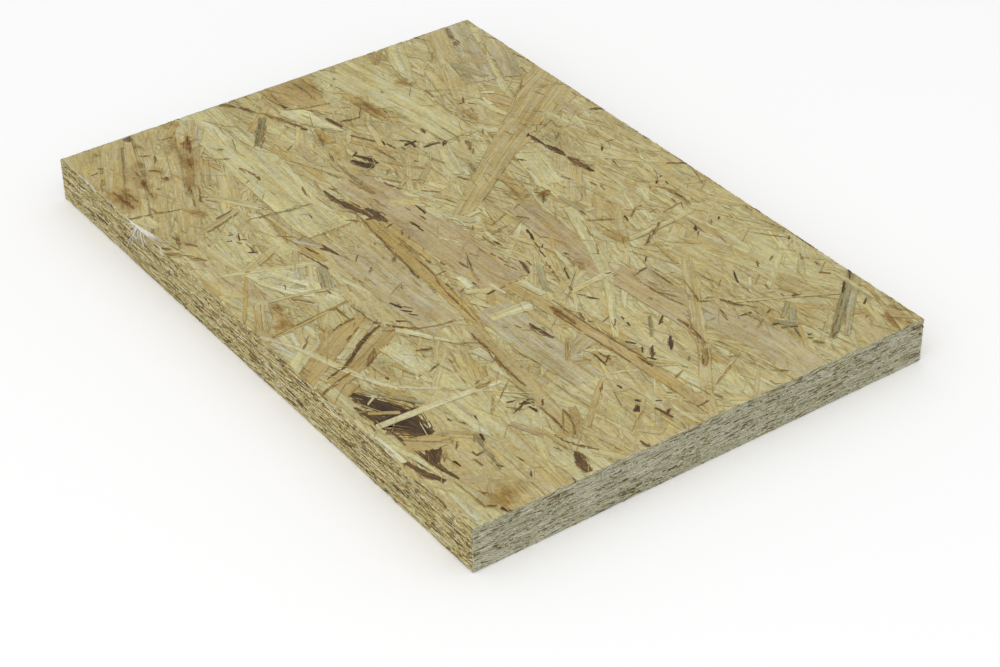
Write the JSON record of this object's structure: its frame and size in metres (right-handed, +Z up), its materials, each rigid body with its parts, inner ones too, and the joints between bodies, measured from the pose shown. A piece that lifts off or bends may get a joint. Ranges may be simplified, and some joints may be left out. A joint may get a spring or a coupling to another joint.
{
  "type": "osb panel",
  "caption": "Flat rectangular sample of oriented strand board with square-sawn edges, pressed from wood strands.",
  "frame": {"origin": "middle of the panel's underside, on the surface it lies on", "axes": "+X across the width, +Y along the length, +Z up through the thickness"},
  "size_m": [0.193, 0.278, 0.018],
  "materials": {
    "osb_panel": "matt pressed wood strands with clear resin, unsanded"
  },
  "bodies": {
    "root": {"osb_panel": "osb_panel"}
  },
  "joints": []
}
